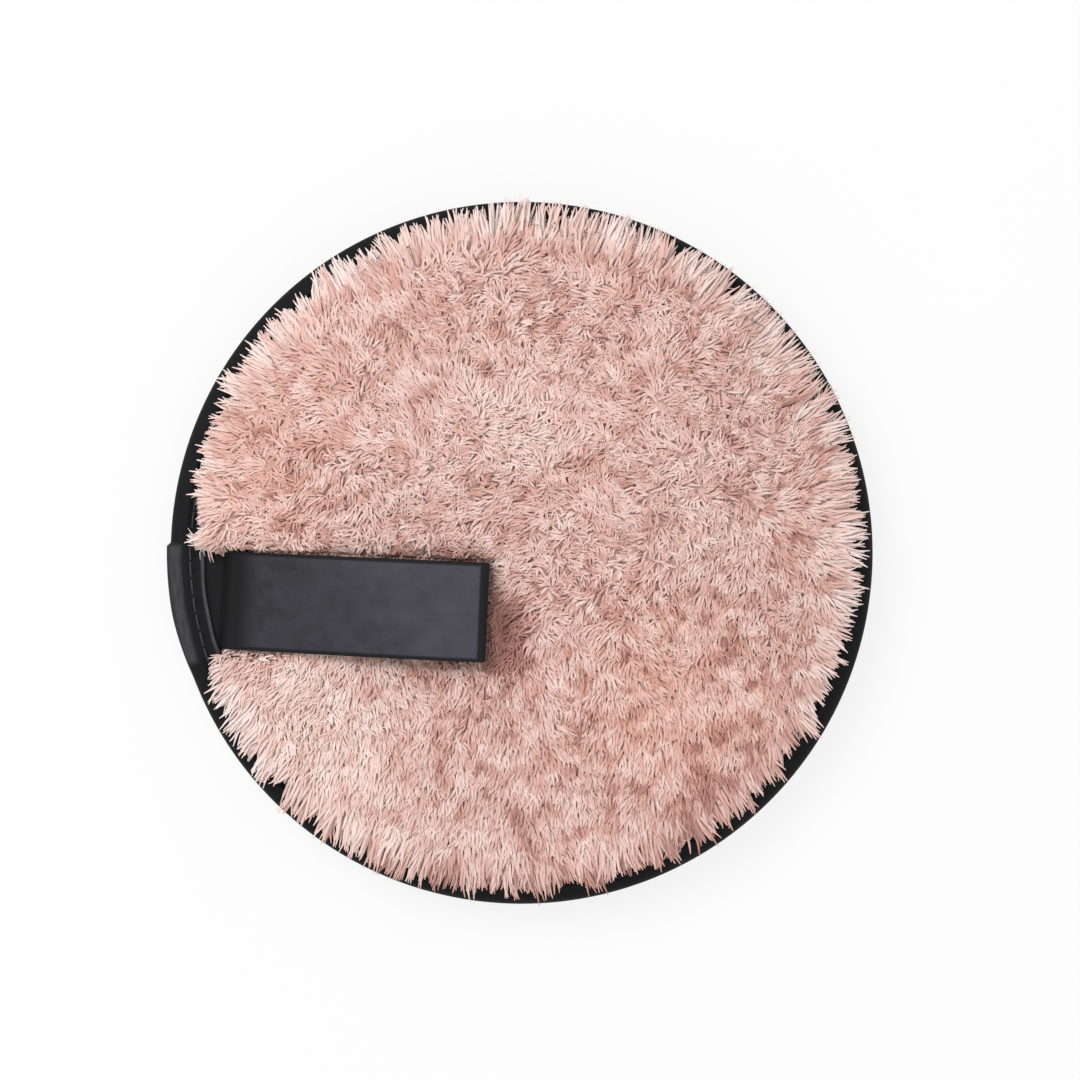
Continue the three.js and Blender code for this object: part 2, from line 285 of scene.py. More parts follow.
def geometry_graph(name, entries):
    """A geometry tree with named inputs, and those inputs by name."""
    tree = bpy.data.node_groups.new(name, "GeometryNodeTree")
    tree.interface.new_socket("Geometry", in_out="OUTPUT", socket_type="NodeSocketGeometry")
    for label, kind in {"Geometry": "Geometry", **entries}.items():
        tree.interface.new_socket(label, in_out="INPUT", socket_type="NodeSocket" + kind)
    graph = Graph(tree)
    group = graph.node("NodeGroupInput")
    return graph, {label: group.output(label) for label in ("Geometry", *entries)}


def placed(name, data):
    """A new object in the scene."""
    made = bpy.data.objects.new(name, data)
    bpy.context.scene.collection.objects.link(made)
    return made


def evaluated(piece):
    return piece.evaluated_get(bpy.context.evaluated_depsgraph_get())


def applied(piece):
    """Gives a piece the mesh that its modifiers make, and removes them."""
    mesh = bpy.data.meshes.new_from_object(evaluated(piece))
    piece.modifiers.clear()
    piece.data = mesh
    return mesh


def grown(name, source, graph, values):
    """A plain mesh object, made by running a geometry tree on a source mesh."""
    piece = placed(name, source.copy())
    modifier = piece.modifiers.new(graph.tree.name, "NODES")
    modifier.node_group = graph.tree
    for item in graph.tree.interface.items_tree:
        if item.in_out == "INPUT" and item.name in values:
            modifier[item.identifier] = values[item.name]
    applied(piece)
    return piece


# Meshes


def mesh_from(name, points, faces, maps=None):
    """A smooth mesh object; maps holds the name of each UV map and its corners' places."""
    mesh = bpy.data.meshes.new(name)
    mesh.from_pydata([tuple(point) for point in points], [], faces)
    mesh.polygons.foreach_set("use_smooth", [True] * len(mesh.polygons))
    for label, corners in (maps or {}).items():
        layer = mesh.uv_layers.new(name=label)
        layer.data.foreach_set("uv", np.asarray(corners, float).ravel())
    mesh.update()
    return placed(name, mesh)


def grid_faces(rows, columns, wrap_rows=False, wrap_columns=False):
    """Four-sided faces over a grid of points numbered row by row."""
    faces = []
    for row in range(rows if wrap_rows else rows - 1):
        for column in range(columns if wrap_columns else columns - 1):
            here, right = row * columns + column, row * columns + (column + 1) % columns
            above = ((row + 1) % rows) * columns
            faces.append((here, right, above + (column + 1) % columns, above + column))
    return faces


def round_angles(count):
    return np.linspace(0, 2 * np.pi, count, endpoint=False)


def turned_points(angles, sections, side=1):
    """The points of the section at each angle round the pad, on its front or its back."""
    return [
        (radius * math.cos(angle), radius * math.sin(angle), MIDDLE + side * height)
        for angle, section in zip(angles, sections) for radius, height in section
    ]


def turned_body(name, angles, sections, poles, side=1):
    """A closed body from open sections round the pad, with the heights of its two poles."""
    points = turned_points(angles, sections, side)
    size = len(sections[0])
    faces = grid_faces(len(angles), size, wrap_rows=True)
    for row in range(len(angles)):
        after = (row + 1) % len(angles)
        faces.append((len(points), row * size, after * size))
        faces.append((len(points) + 1, after * size + size - 1, row * size + size - 1))
    points += [(0, 0, MIDDLE + side * height) for height in poles]
    return mesh_from(name, points, faces if side > 0 else [face[::-1] for face in faces])


def curved(points, steps):
    """A smooth open line through points, with a number of steps from each to the next."""
    points = np.asarray(points, float)
    padded = np.vstack([2 * points[0] - points[1], points, 2 * points[-1] - points[-2]])
    line = []
    for before, start, end, after in zip(padded, padded[1:], padded[2:], padded[3:]):
        for t in np.arange(steps) / steps:
            slope, turn = end - before, 2 * before - 5 * start + 4 * end - after
            line.append(start + 0.5 * t * (slope + t * (turn + t * (3 * (start - end) + after - before))))
    return np.array([*line, points[-1]])


def reach_along(line):
    """How far each point of a line is from its start, measured along the line."""
    return np.concatenate([[0], np.cumsum(np.linalg.norm(np.diff(line, axis=0), axis=1))])


def core_half(radius):
    """Half the sponge's thickness: crowned in the middle, pinched where the tape draws it in."""
    crown = 1 - np.minimum(1, radius / PINCH_RADIUS) ** 3
    return (RIM_THICKNESS + (CORE_THICKNESS - RIM_THICKNESS) * crown) / 2


def leg_face(along):
    """The height of the loop's underside, which climbs from the tape to the pile's top."""
    left = 1 - np.clip(along / CLIMB_LENGTH, 0, 1)
    return LEG_HIGH - left**2 * (LEG_HIGH - LEG_LOW)


def rise_share(angle):
    """1 where the tape lies over the ribbon's ends, 0 elsewhere, with a sharp and a slow step."""
    up = smooth(angle, RISE_START - RISE_STEP, RISE_START)
    return up * smooth(angle, RISE_END + FALL_STEP, RISE_END)


def ride_as(piece, body, nodes):
    """Puts a finished piece on a body, and lets it stand for CAD nodes, which are hidden."""
    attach(piece, body)
    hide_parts(*nodes)


# Sizes and colours


def a_number(name, description, default, **more):
    return FloatProperty(name=name, description=description, default=default, **more)


def a_share(name, description, default, low=0, high=1):
    return a_number(name, description, default, min=low, max=high, subtype="FACTOR")


def a_length(name, description, size):
    """A length, whose default is given in mm."""
    return a_number(name, description, size * MM, unit="LENGTH")


def a_colour(name, description, *parts):
    """A colour, whose default is given as it looks on a screen, from 0 to 255."""
    return FloatVectorProperty(
        name=name, description=description, default=light(*parts), size=3, subtype="COLOR"
    )


class PuffBodySettings(PropertyGroup):
    voxel: a_length("Cloth step", "Size of the cells of the cloth that is blown up", 1.6)
    fill: a_share("Fill", "How full the padded body is", 0.6)
    pressure: a_number("Pressure", "Pressure inside the cloth while it swells", 4)
    swell: a_length("Swell", "The furthest that the cloth may move", 0.5)
    ground: a_colour("Ground", "Colour of the knitted ground cloth", 176, 133, 122)


class PuffPileSettings(PropertyGroup):
    length: a_length("Length", "Length of one strand over the dense bed", 2.7)
    width: a_length("Width", "Width of one strand near its root", 0.42)
    bed: a_share("Bed", "Share of the pile's height that looks like one dense mass", 0.9, 0.2, 0.96)
    front_count: a_number("Front strands", "Strands in a square metre of the front", 5.45e6)
    back_count: a_number("Back strands", "Strands in a square metre of the back", 2.5e6)
    bend: a_number("Bend", "How far a strand bends over in the middle of the pad", 1.3, subtype="ANGLE")
    rim_bend: a_number("Bend at the rim", "How far a strand bends over at the tape", 1.4, subtype="ANGLE")
    tuft: a_length("Tuft", "Width of a tuft of strands", 1.8)
    rim_tuft: a_length("Tuft at the rim", "Width of a tuft at the tape", 2.5)
    ragged: a_length("Ragged edge", "How unevenly the tufts reach over the tape", 3.2)
    crispness: a_number(
        "Crispness", "How much a strand is shaded by its own shape rather than by the cloth under it", 0.1,
        min=0, max=4,
    )
    seed: IntProperty(name="Seed", description="Start of the random numbers", default=7)
    hollow: a_colour("Hollow", "Colour down in the partings", 184, 137, 128)
    deep: a_colour("Deep", "Colour between the strands", 223, 180, 169)
    middle: a_colour("Middle", "Colour half-way up the pile", 241, 213, 206)
    tips: a_colour("Tips", "Colour of the strands' tips", 250, 234, 230)
    blush: a_colour("Blush", "Tint of the warmer patches", 255, 236, 227)


class PuffTapeSettings(PropertyGroup):
    columns: IntProperty(name="Columns", description="Divisions round the rim", default=640)
    pucker: a_length("Pucker", "How far the stitches draw the tape in", 0.07)
    wave: a_length("Wave", "Slow unevenness of the folded tape", 0.16)
    stitch: a_length("Stitch", "Length of one stitch with its gap", 3)
    thread: a_length("Thread", "Thickness of the thread", 0.35)
    colour: a_colour("Tape", "Colour of the tape", 22, 22, 24)
    # Grey of the painted sheen and highlight on the tape where it rises over the ribbon's ends
    painted_sheen: a_colour("Painted tape sheen", "Colour of the tape where sheen is painted on it over the ribbon", 92, 92, 95)


class PuffRibbonSettings(PropertyGroup):
    width: a_length("Width", "Width of the ribbon", 16.5)
    thickness: a_length("Thickness", "Thickness of the ribbon", 0.4)
    sag: a_length("Sag", "How far the upper leg of the loop sags", 0.35)
    colour: a_colour("Ribbon", "Colour of the satin", 27, 26, 31)


class PuffStageSettings(PropertyGroup):
    lens: a_number("Lens", "Focal length of the camera", 85)
    seen_width: a_length("Seen width", "Width of the picture on the pile's top", 184.4)
    centre: FloatVectorProperty(
        name="Centre", description="Place under the middle of the picture", size=3,
        default=(3.13 * MM, 2.19 * MM, 9.5 * MM), unit="LENGTH", subtype="TRANSLATION",
    )
    key: a_number("Key light", "Power of the large lamp at the left", 3.8, unit="POWER")
    fill: a_number("Fill light", "Strength of the light from all round", 0.64)


# Padded body

CLOTH_FRAMES = 20
# How much slimmer the cloth starts than it is once it has swollen
SLIMMING = 0.35 * MM
# From here to the rim the seam holds the cloth
SEWN_RADIUS = TAPE_INNER - 1.5 * MM
# In the map that is baked, a radius of the second size takes the first one's share of the width
MAP_SHARE, MAP_RADIUS = 0.235, CLOTH_RADIUS + 4 * MM


def lens_mesh(name):
    """The pad as a closed lens, slimmed a little so that the cloth can swell to its size."""
    inner = np.linspace(0, PINCH_RADIUS, 26)
    outer = np.linspace(PINCH_RADIUS, CLOTH_RADIUS - CLOTH_EDGE, 6)[1:]
    radii = np.concatenate([inner, outer])
    heights = core_half(radii) + CLOTH_LAYERS
    turn = np.radians([25, 50, 75])
    rim = np.column_stack([radii[-1] + CLOTH_EDGE * np.sin(turn), heights[-1] * np.cos(turn)])
    half = np.vstack([np.column_stack([radii, heights]), rim])
    half[:, 1] -= SLIMMING * smooth(half[:, 0], PINCH_RADIUS, 0.8 * PINCH_RADIUS)
    line = np.vstack([half[1:], [[CLOTH_RADIUS, 0]], half[:0:-1] * (1, -1)])
    angles = round_angles(120)
    return turned_body(name, angles, [line] * len(angles), (half[0, 1], -half[0, 1]))


def swell(piece, sizes):
    """Blows the piece's cloth up from inside, with its rim held by the seam."""
    remesh = piece.modifiers.new("Even cloth", "REMESH")
    remesh.mode = "VOXEL"
    remesh.voxel_size = sizes.voxel
    remesh.use_smooth_shade = True
    even = applied(piece)
    start = read_points(even)
    sewn = np.hypot(start[:, 0], start[:, 1]) > SEWN_RADIUS
    seam = piece.vertex_groups.new(name="seam")
    seam.add([int(i) for i in np.flatnonzero(sewn)], 1, "REPLACE")
    cloth = piece.modifiers.new("Cloth", "CLOTH")
    cloth.settings.use_pressure = True
    cloth.settings.uniform_pressure_force = sizes.pressure
    cloth.settings.effector_weights.gravity = 0
    cloth.settings.vertex_group_mass = seam.name
    cloth.point_cache.frame_start, cloth.point_cache.frame_end = 1, CLOTH_FRAMES
    for number in range(1, CLOTH_FRAMES + 1):
        bpy.context.scene.frame_set(number)
    step = read_points(evaluated(piece).data) - start
    length = np.linalg.norm(step, axis=1, keepdims=True)
    step *= np.minimum(1, sizes.swell / np.maximum(length, 1e-9))
    piece.modifiers.clear()
    piece.vertex_groups.clear()
    even.vertices.foreach_set("co", (start + step).ravel())
    bpy.context.scene.frame_set(1)


def read_points(mesh):
    points = np.empty(len(mesh.vertices) * 3)
    mesh.vertices.foreach_get("co", points)
    return points.reshape(-1, 3)


def lay_flat(mesh):
    """A map with the front's face in its left half and the back's in its right, each as a disc."""
    points = read_points(mesh)
    layer = mesh.uv_layers.new(name="OFBake")
    span = MAP_SHARE / MAP_RADIUS
    places = np.empty((len(mesh.loops), 2))
    for face in mesh.polygons:
        side = 1 if face.center.z > MIDDLE else -1
        for loop in face.loop_indices:
            x, y, z = points[mesh.loops[loop].vertex_index]
            reach = math.hypot(x, y)
            spread = span * (reach - side * (z - MIDDLE)) / max(reach, 1e-6)
            places[loop] = (0.5 - 0.25 * side + spread * x, 0.5 + 2 * spread * y)
    layer.data.foreach_set("uv", places.ravel())


def ground_finish(sizes):
    """Knitted cloth: small round loops, darker between them and in slow patches."""
    graph = Finish("knitted_ground")
    place = graph.place()
    loops = graph.node(
        "ShaderNodeTexVoronoi", {"feature": "F1"}, {"Vector": place, "Scale": 1500, "Randomness": 0.6}
    )
    share = loops * 0.5 + graph.noise(place, 90, 3) * 0.5
    colour = graph.mix(share, opaque(sizes.ground, 0.55), opaque(sizes.ground))
    return graph.filled(
        colour, 0.9 - loops * 0.1, {"Normal": graph.bump(loops, 0.15 * MM), "Sheen Weight": 0.3}
    )


class PUFF_OT_body(Operator):
    """Makes the sponge in its knitted cloths, blown up as cloth and held at the seam"""
    bl_idname = "puff.body"
    bl_label = "Padded body"

    def execute(self, context):
        sizes = context.scene.puff_body
        piece = lens_mesh("padded_body")
        swell(piece, sizes)
        divide = piece.modifiers.new("Finer", "SUBSURF")
        divide.levels = divide.render_levels = 1
        fine = applied(piece)
        fine.polygons.foreach_set("use_smooth", [True] * len(fine.polygons))
        lay_flat(fine)
        fine.materials.clear()
        fine.materials.append(ground_finish(sizes))
        ride_as(piece, "pad", ("core_pad", "front_ground_cloth", "back_ground_cloth"))
        return {"FINISHED"}


# Pile

STRAND_ENTRIES = {
    **dict.fromkeys((
        "Strands per area", "Length", "Width", "Bend", "Rim bend", "Tuft", "Rim tuft", "Ragged",
        "Side", "Sector", "Sectors", "Crispness",
    ), "Float"),
    "Seed": "Int", "Finish": "Material",
}
# Patches of the pile in mm: x and y from the middle, how far each reaches, its full part, the change. The
# first are painted light and shade on the front's tone, the darkest of them the ribbon's painted shadow
# beside and below its end; the blushes make patches of the pile warmer.
PAINTED_LIGHT_AND_SHADE = (
    (-37, -30, 24, 6, 0.3), (1, 22, 12, 3, 0.3), (36, -37, 18, 4.5, -0.2), (-8, -25, 13, 3.25, -0.1),
    (-2.5, -10.5, 6.5, 1.625, -0.9), (-2.5, -15.5, 6.5, 1.625, -0.9),
)
BLUSHES = ((-44, 16, 30, 5, 0.3), (24, -21, 24, 3, 0.4))
# Where the pile is parted beside the end of the ribbon: the place, half its size each way, its depth
PARTING = (-2.8 * MM, -13 * MM, 3 * MM, 5.5 * MM, 3 * MM)
# How far the tips reach from the axis: the mean, the most, and past the rim as a target
REACH = 59 * MM
REACH_LIMIT = 62.4 * MM
OVERHANG = 0.8 * MM
# Slow waves in that reach: their size in mm, how many go round, and the angle where each is least
REACH_WAVES = ((1.05, 1, 228), (1.2, 2, 154), (0.3, 4, 4))
# Where the pile leaves more of the tape bare, or less: the angle, half the breadth, and mm of depth
BARE = ((177, 10, 3), (354, 10, 1.2), (322, 10, 0.8), (274, 16, 0.8), (58, 46, -1.5))
# The tips' height over the middle plane at the rim and over that in the middle, and their radius
RIM_TIPS = 3.7 * MM
TIP_CROWN = 5.8 * MM
TIP_RADIUS = 57.3 * MM
# Strands change from those of the middle to those of the rim between these radii
RIM_BAND = 49.3 * MM
ROOT_RADIUS = 53.75 * MM
# The thickness over which pressed pile packs down
GIVE = 1 * MM
# The channel that the ribbon presses in the pile: soft steps at its sides, its end and its start
CHANNEL_SIDE = (9.2 * MM, 8.7 * MM)
CHANNEL_END = (46 * MM, 45.4 * MM)
CHANNEL_START = (-1.5 * MM, -1 * MM)
# No strand is rooted on the notch where the ribbon leaves the tape
NOTCH_HALF = 8.9 * MM
NOTCH_END = 1.3 * MM
# How far the pressed pile stays above the surface that the puff lies on
FLOOR_GAP = 0.02 * MM
# Layers of the dense bed: under the ribbon, over the cloth, and over the floor at the back
BED_UNDER_RIBBON = 1.4 * MM
BED_OVER_CLOTH = 0.2 * MM
BED_OVER_FLOOR = 0.6 * MM
# The bed's outer wall: radii in mm with shares of its height, which starts at the foot
BED_WALL = ((53.5, 0.93), (53.68, 0.8), (53.74, 0.6), (53.74, 0.4), (53.74, 0.2))
BED_FOOT = 1.4 * MM
BED_LIP = 1.6 * MM


def from_hinge(place):
    """How far a place is from the hinge, along the ribbon and across it."""
    offset = place - HINGE
    return offset.dot(RIBBON_ALONG), offset.dot(RIBBON_ACROSS)


def root_fields(graph, given):
    """What is known of a place on the pile: its side, and where the rim and the ribbon are."""
    at = SimpleNamespace(place=graph.node("GeometryNodeInputPosition"), side=given["Side"])
    at.front = at.side > 0
    at.x, at.y, z = at.place.parts()
    at.flat = graph.joined(at.x, at.y, 0)
    at.height = (z - MIDDLE) * at.side
    at.angle = graph.maths("ARCTAN2", at.y, at.x)
    at.radius = at.flat.length()
    at.along, at.across = from_hinge(at.place)
    at.under = abs(at.across).step(10.5 * MM, 8.8 * MM) * at.along.step(14 * MM, 6 * MM) * at.front
    at.rim = at.radius.step(RIM_BAND, ROOT_RADIUS)
    at.edge = at.rim * (1 - at.under)
    return at


def unwanted_roots(graph, given, at):
    """1 for roots as low as the tape, where the ribbon leaves it, or in another sector."""
    low = at.height < TAPE_TOP + 0.5 * MM
    notch = (abs(at.across) < NOTCH_HALF) * (at.along < NOTCH_END) * at.front
    sector = graph.maths("FLOOR", (at.angle / (2 * math.pi) + 0.5) * given["Sectors"])
    return notch.most(low).most(1 - graph.maths("COMPARE", sector, given["Sector"]))


def tuft(graph, at, width):
    """The way to the middle of a root's tuft, and two random numbers that its strands share."""
    cell = graph.node(
        "ShaderNodeTexVoronoi", {"voronoi_dimensions": "2D"}, {"Vector": at.place, "Scale": 1 / width}
    )
    luck, other_luck, _ = cell.output("Color").parts()
    return cell.output("Position") - at.flat, luck, other_luck


def comb_field(graph, at):
    """The direction in which the strands lean, longer where they lean further."""
    swirl, fine = (graph.noise(at.place, scale, 1, output="Color") - (0.5, 0.5, 0.5) for scale in (75, 420))
    nap = graph.joined(at.x * (0.35 / PAD_RADIUS), ((at.y - 12 * MM) / (44 * MM)).least(0.25), 0)
    beside = abs(at.across).step(13 * MM, 8 * MM) * at.front
    beside = beside * at.along.step(-4 * MM, 1 * MM) * at.along.step(50 * MM, 44 * MM)
    push = graph.maths("SIGN", at.across) * beside * RIBBON_ACROSS
    comb = nap + swirl * 2.1 + fine * (at.rim * 1.2 + 2) + at.flat.unit() * (at.rim * 1.9) + push * 0.4
    return graph.mix(at.under, comb, RIBBON_ALONG * 1.1) * (1.0, 1.0, 0.0)


def pile_reach(at):
    """How far from the axis the pile's tips reach, which leaves more tape bare on some sides."""
    waves = [
        size * MM * ((at.angle - math.radians(degrees)) * count).cos() for size, count, degrees in REACH_WAVES
    ]
    reach = REACH - (waves[0] + waves[1] + waves[2])
    for degrees, breadth, depth in BARE:
        near = (at.angle - math.radians(degrees)).cos()
        reach = reach - near.step(math.cos(math.radians(breadth)), 1) * (depth * MM)
    return reach.least(REACH_LIMIT)


def patched(value, at, spots, strength=1):
    """A value that changes in soft round patches."""
    for x, y, reach, full, change in spots:
        away = at.flat.distance((x * MM, y * MM, 0))
        value = value + away.step(reach * MM, full * MM) * (strength * change)
    return value


def strand_colour(graph, at, fine_luck, fine_warmth, rim_tone):
    """How light and how warm a strand is, by warm patches, by painted patches of light and shade, by tufts
    and by chance.
    """
    warmth = patched((graph.noise(at.place, 38, 2) - 0.5) * 0.7 + 0.4, at, BLUSHES)
    warmth = warmth + (fine_warmth - 0.5) * 0.2 - at.edge * 0.3
    tone = 0.64 + (fine_luck - 0.5) * 0.4 + graph.random(15, -0.06, 0.06)
    tone = tone + (graph.noise(at.place, 130, 1) - 0.5) * 0.35
    # Painted light and shade, in soft patches on the front pile only
    tone = patched(tone + (graph.noise(at.place, 330, 2, 0.6) - 0.5) * 1.5, at, PAINTED_LIGHT_AND_SHADE, at.front)
    # The rim's tips are paler, and darker towards the bottom of the pad: partly painted shade
    bright = at.y.step(-50 * MM, -15 * MM, -0.3, 0.4)
    tone = tone + (rim_tone - 0.5) * at.edge * 0.2 + at.radius.step(51 * MM, ROOT_RADIUS) * bright
    return tone, warmth.between(0.03, 0.95)


def strand_plan(graph, given, at, up):
    """What each root holds for its strand: its place, its directions, its shape and its looks."""
    fine_pull, fine_luck, fine_warmth = tuft(graph, at, given["Tuft"])
    rim_pull, rim_luck, rim_tone = tuft(graph, at, given["Rim tuft"])
    comb = comb_field(graph, at)
    way = (comb - up * comb.dot(up)).unit()
    pull = graph.mix(at.edge, fine_pull * 0.4, rim_pull * 0.35)
    pull = pull + way.cross(up) * graph.random(16, -0.9 * MM, 0.9 * MM)
    length = given["Length"] * graph.random(11, 0.84, 1.12) * graph.mix(at.edge, 1, 1.8)
    bend = graph.mix(at.edge, given["Bend"] * comb.length().between(0.75, 1.15), given["Rim bend"])
    bend = bend * graph.random(12, 0.75, 1.2)
    lean = graph.random(13, 0.3, 0.7) + at.edge * 0.25
    run = length * (lean.cos() - (lean + bend).cos()) / bend
    luck = rim_luck - 0.5 + (fine_luck - 0.5) * 0.6
    target = pile_reach(at) + luck * given["Ragged"] + graph.random(14, -1.3 * MM, 0.9 * MM)
    target = target.least(PAD_RADIUS + OVERHANG)
    stretch = graph.mix(at.edge * at.edge, 1, ((target - at.radius) / run).between(0.3, 2.2))
    tone, warmth = strand_colour(graph, at, fine_luck, fine_warmth, rim_tone)
    return {
        "Root": at.place, "Up": up, "Way": way, "Pull": pull,
        "Shape": graph.joined(length, bend, lean), "Looks": graph.joined(tone, warmth, stretch),
    }


def held_clear(graph, at, place, height):
    """A height over the middle plane, kept above the tape, below the ribbon and off the ground."""
    x, y, _ = place.parts()
    reach = graph.maths("SQRT", x * x + y * y)
    height = height.most(reach.step(TAPE_INNER - 0.5 * MM, TAPE_INNER - 0.1 * MM, 0, TAPE_TOP + 0.25 * MM))
    along, across = from_hinge(place)
    left = 1 - (along / CLIMB_LENGTH).between(0, 1)
    under = LEG_HIGH - 0.35 * MM - left * left * (LEG_HIGH - LEG_LOW)
    inside = abs(across).step(*CHANNEL_SIDE) * along.step(*CHANNEL_END) * along.step(*CHANNEL_START)
    open_air = graph.mix(at.front, MIDDLE - FLOOR_GAP, 1)
    knee = graph.mix(inside * at.front, open_air, under) - GIVE
    over = (height - knee).most(0)
    return height.least(knee) + over * GIVE / (over + GIVE)


def pile_graph():
    """Roots strands on the dense bed, combs them, and holds them clear of tape and ribbon."""
    graph, given = geometry_graph("Pile", STRAND_ENTRIES)
    at = root_fields(graph, given)
    _, _, facing_up = graph.node("GeometryNodeInputNormal").parts()
    points = graph.node(
        "GeometryNodeDistributePointsOnFaces", {"distribute_method": "RANDOM"},
        {"Mesh": given["Geometry"], "Selection": facing_up * at.side > -0.25,
         "Density": given["Strands per area"], "Seed": given["Seed"]},
    )
    plan = strand_plan(graph, given, at, points.output("Normal"))
    held = graph.node(
        "GeometryNodeCaptureAttribute", {"held": plan}, dict(enumerate((points, *plan.values())))
    )
    rooted = graph.node("GeometryNodeDeleteGeometry", inputs={0: held, 1: unwanted_roots(graph, given, at)})
    strand = graph.node(
        "GeometryNodeMeshCone", {"fill_type": "NGON"},
        {"Vertices": 3, "Side Segments": 3, "Radius Top": 0.05, "Radius Bottom": 0.5, "Depth": 1.0},
    )
    copies = graph.node("GeometryNodeInstanceOnPoints", inputs={"Points": rooted, "Instance": strand})
    real = graph.node("GeometryNodeRealizeInstances", inputs={0: copies})

    root, up, way, pull, shape, looks = (held.output(i) for i in range(1, 7))
    length, bend, lean = shape.parts()
    tone, warmth, stretch = looks.parts()
    side_x, side_y, share = (at.place - root).parts()
    angle = lean + bend * share
    rise = length * (angle.sin() - lean.sin()) / bend * (stretch + 0.2).least(1)
    run = length * (lean.cos() - angle.cos()) / bend * stretch
    over_way = way * angle.cos() - up * angle.sin()
    girth = given["Width"] * (1 + share * 3)
    place = root + up * (rise - 0.2 * MM) + way * run + pull * (share * share)
    place = place + way.cross(up) * (side_x * girth) + over_way * (side_y * girth * 0.4)
    x, y, z = place.parts()
    height = held_clear(graph, at, place, (z - MIDDLE) * at.side)
    shaped = graph.node(
        "GeometryNodeSetPosition",
        inputs={"Geometry": real, "Position": graph.joined(x, y, MIDDLE + height * at.side)},
    )
    # Darker towards the root and lighter towards the tip: partly painted shade between the strands
    shade = (tone + (share - 0.62) * 0.35).between(0.02, 0.98)
    mapped = graph.node(
        "GeometryNodeStoreNamedAttribute", {"data_type": "FLOAT2", "domain": "CORNER"},
        {"Geometry": shaped, "Name": "OFBake",
         "Value": graph.joined(warmth + (side_y + side_x * 0.3) * 0.03, shade, 0)},
    )
    soft = graph.node("GeometryNodeSetShadeSmooth", inputs={0: mapped})
    own = graph.node("GeometryNodeInputNormal")
    upright = graph.mix(share, up, graph.joined(0, 0, at.side))
    below = own.dot(upright).step(0.15, -0.35)
    shading = own * (given["Crispness"] + below) + upright * (1 - below)
    lit = graph.node(
        "GeometryNodeSetMeshNormal", {"mode": "FREE"}, {"Mesh": soft, "Custom Normal": shading.unit()}
    )
    graph.finish(lit, given["Finish"])
    return graph


def pile_finish(sizes):
    """Colour by the strand's own map: across it the warmth of its patch, up it from root to tip, darker at
    the root partly as painted shade between the strands.
    """
    graph = Finish("long_pile")
    warmth, tone, _ = graph.map_place("OFBake")
    cool = graph.ramp(tone, (0, sizes.hollow), (0.22, sizes.deep), (0.55, sizes.middle), (1, sizes.tips))
    warm = graph.node(
        "ShaderNodeMix", {"data_type": "RGBA", "blend_type": "MULTIPLY"},
        {0: 1.0, 6: cool, 7: opaque(sizes.blush)}, output=2,
    )
    return graph.filled(graph.mix(warmth, cool, warm), 0.95 - tone * 0.2, {"Specular IOR Level": 0.2})


def pile_top(reach):
    """The height of the pile's tips over the middle plane."""
    share = np.minimum(reach / TIP_RADIUS, 1)
    return RIM_TIPS + TIP_CROWN * (1 - share**4) ** 0.4


def pile_bed(name, side, sizes):
    """The dense lower part of the pile: closed, and pressed down where the ribbon lies on it."""
    reaches = np.concatenate([np.linspace(0, 44, 34), np.linspace(44, 53.2, 15)[1:]]) * MM
    angles = round_angles(240)
    reach, angle = np.meshgrid(reaches[1:], angles)
    x, y = reach * np.cos(angle), reach * np.sin(angle)
    cloth = core_half(reach) + CLOTH_LAYERS
    highest = math.inf if side > 0 else MIDDLE - BED_OVER_FLOOR
    top = np.minimum(cloth + (pile_top(reach) - cloth) * sizes.bed, highest)
    middle_top = min(cloth[0, 0] + (pile_top(0) - cloth[0, 0]) * sizes.bed, highest)
    if side > 0:
        offset_x, offset_y = x - HINGE.x, y - HINGE.y
        along = offset_x * RIBBON_ALONG.x + offset_y * RIBBON_ALONG.y
        across = np.abs(offset_x * RIBBON_ACROSS.x + offset_y * RIBBON_ACROSS.y)
        floor = cloth + BED_OVER_CLOTH
        under = np.where(along < 2 * MM, floor, leg_face(along) - BED_UNDER_RIBBON)
        middle_x, middle_y, half_x, half_y, depth = PARTING
        top = top - depth * np.exp(-(((x - middle_x) / half_x) ** 2) - ((y - middle_y) / half_y) ** 2)
        inside = smooth(across, 10.2 * MM, 8.6 * MM) * smooth(along, 48 * MM, 45 * MM)
        top = np.minimum(top, top + (np.maximum(under, floor) - top) * inside)
    sections = []
    for tops, cloths in zip(top, cloth):
        lip = max(tops[-1], BED_LIP) - BED_FOOT
        wall = [(radius * MM, BED_FOOT + lip * share) for radius, share in BED_WALL]
        under_side = [(53.6 * MM, 1.37 * MM), *zip(reaches[:0:-4], cloths[::-4])]
        sections.append([*zip(reaches[1:], tops), *wall, *under_side])
    piece = turned_body(name, angles, sections, (middle_top, cloth[0, 0]), side)
    lay_flat(piece.data)
    return piece


def bed_finish(sizes):
    """The dense mass between the strands: deep pink with lighter specks of fibre."""
    graph = Finish("pile_bed")
    place = graph.place()
    fibres = graph.noise(place, 2200, 3, 0.6)
    tone = fibres * 0.7 + graph.noise(place, 60, 2) * 0.3
    colour = graph.ramp(tone, (0.3, sizes.deep), (0.7, sizes.middle))
    return graph.filled(
        colour, 0.95 - fibres * 0.1, {"Normal": graph.bump(fibres, 0.4 * MM), "Specular IOR Level": 0.2}
    )


